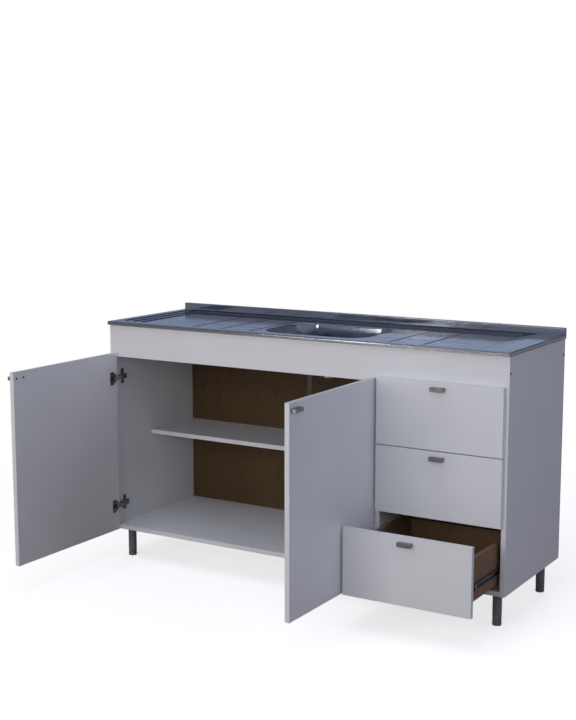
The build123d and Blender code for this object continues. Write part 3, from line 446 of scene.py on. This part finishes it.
def camera_floor(tree, shader):
    """A pale floor that takes a soft shadow and fades to white."""
    shader.inputs["Base Color"].default_value = (*FLOOR_COLOUR, 1)
    shader.inputs["Roughness"].default_value = 0.9
    shader.inputs["Specular IOR Level"].default_value = 0.0
    shader.inputs["Emission Color"].default_value = (*WHITE, 1)
    shader.inputs["Emission Strength"].default_value = FLOOR_GLOW
    coordinates = tree.nodes.new("ShaderNodeTexCoord")
    distance = tree.nodes.new("ShaderNodeVectorMath")
    distance.operation = "LENGTH"
    tree.links.new(coordinates.outputs["Object"], distance.inputs[0])
    fade = spread(tree, distance.outputs["Value"], 0.0, 1.0, WHITE_FROM, WHITE_AT)
    return mix_shaders(tree, fade, shader.outputs["BSDF"], coloured_shader(tree, "ShaderNodeEmission", WHITE))


def stage_floor():
    """A floor that is pale to the camera and a dim brown grey to the object."""
    bpy.ops.mesh.primitive_circle_add(vertices=96, radius=FLOOR_RADIUS, fill_type="NGON")
    floor = bpy.context.object
    floor.name = "floor"
    material, tree, shader = new_material("floor")
    dim = coloured_shader(tree, "ShaderNodeBsdfDiffuse", FLOOR_DIM)
    mirrored = coloured_shader(tree, "ShaderNodeEmission", FLOOR_MIRRORED)
    path = tree.nodes.new("ShaderNodeLightPath")
    unseen = mix_shaders(tree, path.outputs["Is Glossy Ray"], dim, mirrored)
    surface = mix_shaders(tree, path.outputs["Is Camera Ray"], unseen, camera_floor(tree, shader))
    tree.links.new(surface, tree.nodes["Material Output"].inputs["Surface"])
    floor.data.materials.append(material)


def background(tree, colour):
    """A world background of a colour socket."""
    node = tree.nodes.new("ShaderNodeBackground")
    tree.links.new(colour, node.inputs["Color"])
    return node.outputs["Background"]


def reflected_room(tree, direction, parts):
    """A dim room: a streaked bluish horizon, a dark ceiling and a paler zenith."""
    streaks = spread(tree, noise(tree, direction, scale=3.2, detail=2.0), 0.0, 1.0, 0.4, 0.6)
    rear = blend_colours(tree, streaks, REAR_DARK, REAR_BRIGHT)
    to_front = spread(tree, parts.outputs["Y"], 1.0, 0.0, FRONT_AT, REAR_AT)
    horizon = blend_colours(tree, to_front, rear, FRONT_COLOUR)
    ceiling = spread(tree, parts.outputs["Z"], 0.0, 1.0, CEILING_FROM, CEILING_AT)
    zenith = spread(tree, parts.outputs["Z"], 0.0, 1.0, ZENITH_FROM, ZENITH_AT)
    above = blend_colours(tree, zenith, CEILING_COLOUR, ZENITH_COLOUR)
    return background(tree, blend_colours(tree, ceiling, horizon, above))


def world_light():
    """White to the camera, a soft room for light, and a dim room for reflections."""
    world = bpy.data.worlds.new("studio")
    bpy.context.scene.world = world
    world.use_nodes = True
    tree = world.node_tree
    tree.nodes.clear()
    direction = tree.nodes.new("ShaderNodeTexCoord").outputs["Generated"]
    parts = tree.nodes.new("ShaderNodeSeparateXYZ")
    tree.links.new(direction, parts.inputs["Vector"])
    overhead = spread(tree, parts.outputs["Z"], 0.0, 1.0, OVERHEAD_FROM, OVERHEAD_AT)
    light = background(tree, blend_colours(tree, overhead, BLACK, OVERHEAD_LIGHT))
    path = tree.nodes.new("ShaderNodeLightPath")
    reflected = reflected_room(tree, direction, parts)
    unseen = mix_shaders(tree, path.outputs["Is Glossy Ray"], light, reflected)
    white = coloured_shader(tree, "ShaderNodeBackground", WHITE)
    seen = mix_shaders(tree, path.outputs["Is Camera Ray"], unseen, white)
    output = tree.nodes.new("ShaderNodeOutputWorld")
    tree.links.new(seen, output.inputs["Surface"])


# ---------------------------------------------------------------- lights and camera
# Each light: place, target, size, watts and colour. Cards are seen only in reflections.
MIDDLE = (0, 0, 0.45)
ROOM_LIGHTS = {
    "front": ((-0.6, -4.8, 1.7), MIDDLE, (3.0, 2.0), 73, (1.0, 0.981, 0.989)),
    "front left": ((-3.2, -4.0, 1.5), MIDDLE, (2.4, 1.8), 14, (1.0, 0.84, 0.80)),
    "front right": ((2.4, -4.3, 1.8), MIDDLE, (2.4, 1.8), 24, (0.9, 0.954, 1.0)),
    "right": ((4.4, -0.8, 1.8), MIDDLE, (2.4, 1.8), 35, (0.725, 0.755, 1.0)),
    "top": ((0.0, -1.6, 4.6), MIDDLE, (3.0, 3.0), 45, (0.734, 0.85, 1.0)),
    "rear": ((-1.0, 4.8, 1.8), MIDDLE, (3.0, 2.0), 70, (1.0, 0.97, 0.94)),
}
CARDS = {
    "lip card": ((-1.35, -4.0, 0.67), (-1.35, 0, 0.67), (2.1, 0.42), 20, (1.0, 0.98, 0.97)),
    "bowl card": ((-1.75, -4.0, 1.06), (0.0, 0.1, 0.8), (0.3, 0.26), 3, (1.0, 1.0, 1.0)),
}
CAMERA_PLACE = (2.1429, -3.7881, 1.3945)
CAMERA_TURN = (math.radians(90 - 8.54), 0, math.radians(31.28))
SENSOR_WIDTH, FOCAL_LENGTH = 36.0, 65.17  # millimetres


def area_light(name, place, target, size, power, colour):
    data = bpy.data.lights.new(name, "AREA")
    data.shape = "RECTANGLE"
    data.size, data.size_y = size
    data.energy = power
    data.color = colour
    light = bpy.data.objects.new(name, data)
    light.location = place
    light.rotation_euler = (Vector(target) - Vector(place)).to_track_quat("-Z", "Y").to_euler()
    light.visible_glossy = name in CARDS
    light.visible_diffuse = name not in CARDS
    bpy.context.scene.collection.objects.link(light)


def photo_camera():
    data = bpy.data.cameras.new("camera")
    data.sensor_width = SENSOR_WIDTH
    data.lens = FOCAL_LENGTH
    camera = bpy.data.objects.new("camera", data)
    camera.location = CAMERA_PLACE
    camera.rotation_euler = CAMERA_TURN
    bpy.context.scene.collection.objects.link(camera)
    bpy.context.scene.camera = camera


stage_floor()
world_light()
for name, values in (ROOM_LIGHTS | CARDS).items():
    area_light(name, *values)
photo_camera()
bpy.context.scene.view_settings.view_transform = "Standard"
